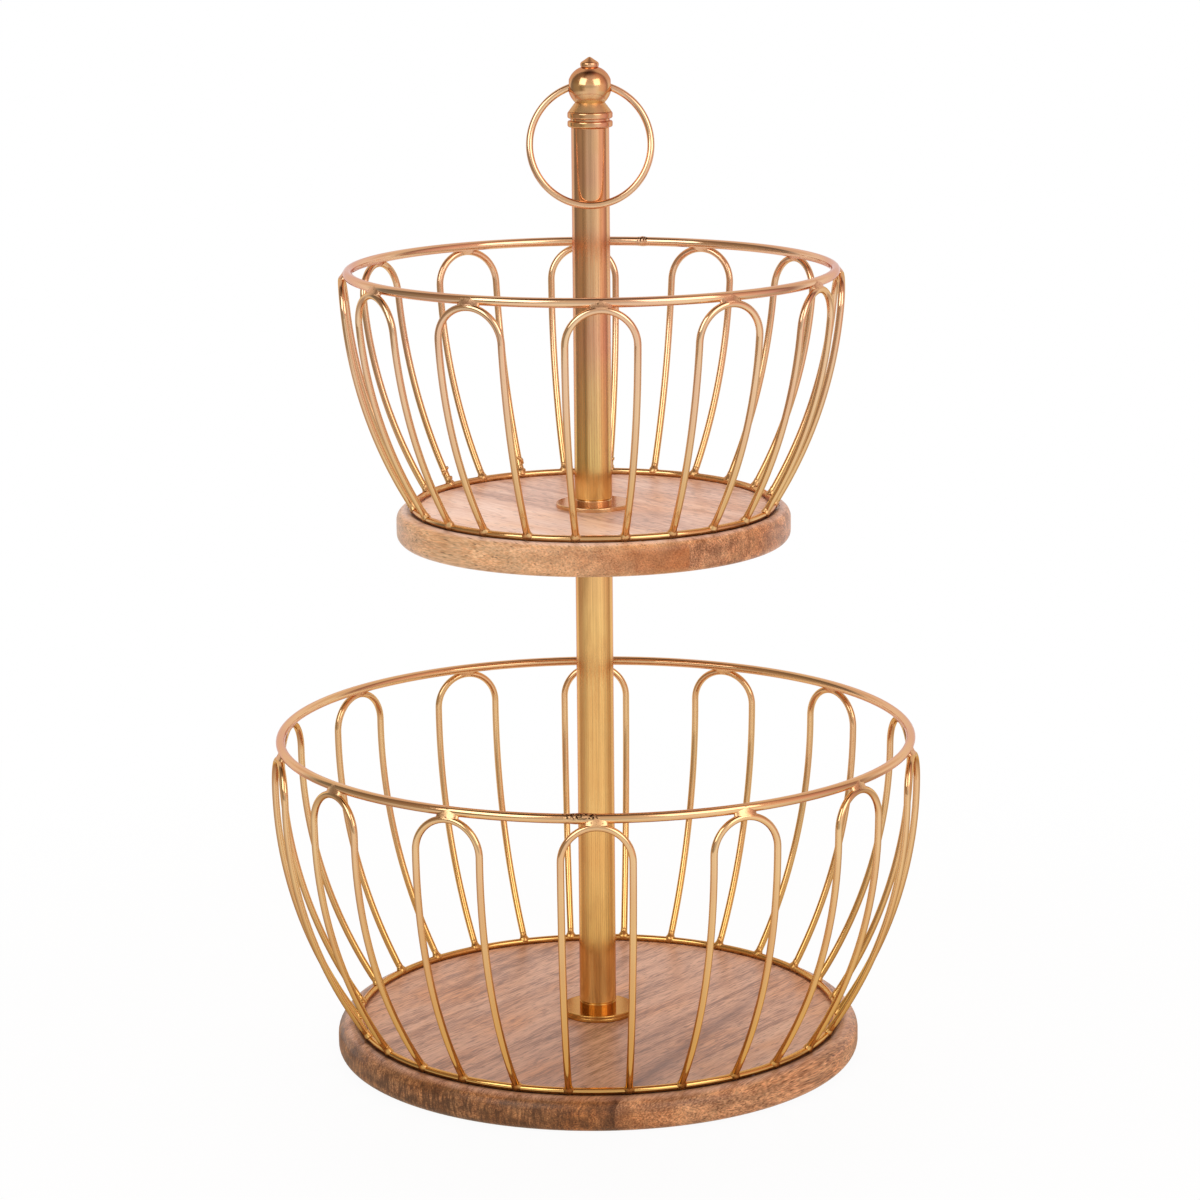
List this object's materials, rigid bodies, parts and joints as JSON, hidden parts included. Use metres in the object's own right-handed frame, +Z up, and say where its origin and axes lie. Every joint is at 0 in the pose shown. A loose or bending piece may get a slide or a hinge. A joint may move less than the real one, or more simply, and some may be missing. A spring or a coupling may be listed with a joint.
{
  "type": "tiered wire basket",
  "caption": "Free-standing tiered basket: looped brass-finish wire bowls on round wood boards, carried by a tubular post with a ball finial and a loose carrying ring.",
  "frame": {"origin": "centre of the base board's underside, on the surface that the stand rests on", "axes": "+Z up along the post, -Y towards the front, where the carrying ring hangs, +X to the right"},
  "size_m": [0.2796, 0.28, 0.4323],
  "materials": {
    "mango_wood_base": "satin oiled",
    "mango_wood_upper": "satin oiled",
    "brass_wire": "satin lacquered",
    "brass_weld": "satin lacquered",
    "brass_tube": "brushed lacquered",
    "brass_finial": "polished",
    "brass_handle": "satin lacquered",
    "zinc_steel": "zinc plated"
  },
  "bodies": {
    "stand": {"base_board": "mango_wood_base", "upper_board": "mango_wood_upper", "lower_rim": "brass_wire", "lower_ring": "brass_wire", "upper_rim": "brass_wire", "upper_ring": "brass_wire", "lower_hoop_01": "brass_wire", "lower_hoop_02": "brass_wire", "lower_hoop_03": "brass_wire", "lower_hoop_04": "brass_wire", "lower_hoop_05": "brass_wire", "lower_hoop_06": "brass_wire", "lower_hoop_07": "brass_wire", "lower_hoop_08": "brass_wire", "lower_hoop_09": "brass_wire", "lower_hoop_10": "brass_wire", "lower_hoop_11": "brass_wire", "lower_hoop_12": "brass_wire", "lower_hoop_13": "brass_wire", "lower_hoop_14": "brass_wire", "upper_hoop_01": "brass_wire", "upper_hoop_02": "brass_wire", "upper_hoop_03": "brass_wire", "upper_hoop_04": "brass_wire", "upper_hoop_05": "brass_wire", "upper_hoop_06": "brass_wire", "upper_hoop_07": "brass_wire", "upper_hoop_08": "brass_wire", "upper_hoop_09": "brass_wire", "upper_hoop_10": "brass_wire", "upper_hoop_11": "brass_wire", "upper_hoop_12": "brass_wire", "lower_rim_welds": "brass_weld", "lower_foot_welds": "brass_weld", "upper_rim_welds": "brass_weld", "upper_foot_welds": "brass_weld", "lower_tube": "brass_tube", "upper_tube": "brass_tube", "lower_washer": "brass_tube", "lower_flange": "brass_tube", "upper_flange": "brass_tube", "support_washer": "brass_tube", "tube_collar": "brass_finial", "finial": "brass_finial", "lower_pins": "zinc_steel", "upper_pins": "zinc_steel", "base_washer": "zinc_steel", "base_bolt": "zinc_steel", "lower_foot_plug": "zinc_steel", "lower_head_plug": "zinc_steel", "upper_foot_plug": "zinc_steel", "joining_stud": "zinc_steel", "finial_stud": "zinc_steel"},
    "handle": {"handle_ring": "brass_handle"}
  },
  "joints": [
    {"name": "handle_swing", "type": "hinge", "parent": "stand", "child": "handle", "pos_m": [0, 0, 0.42029], "axis": [-1, 0, 0], "range_deg": [0, 337.3]}
  ]
}
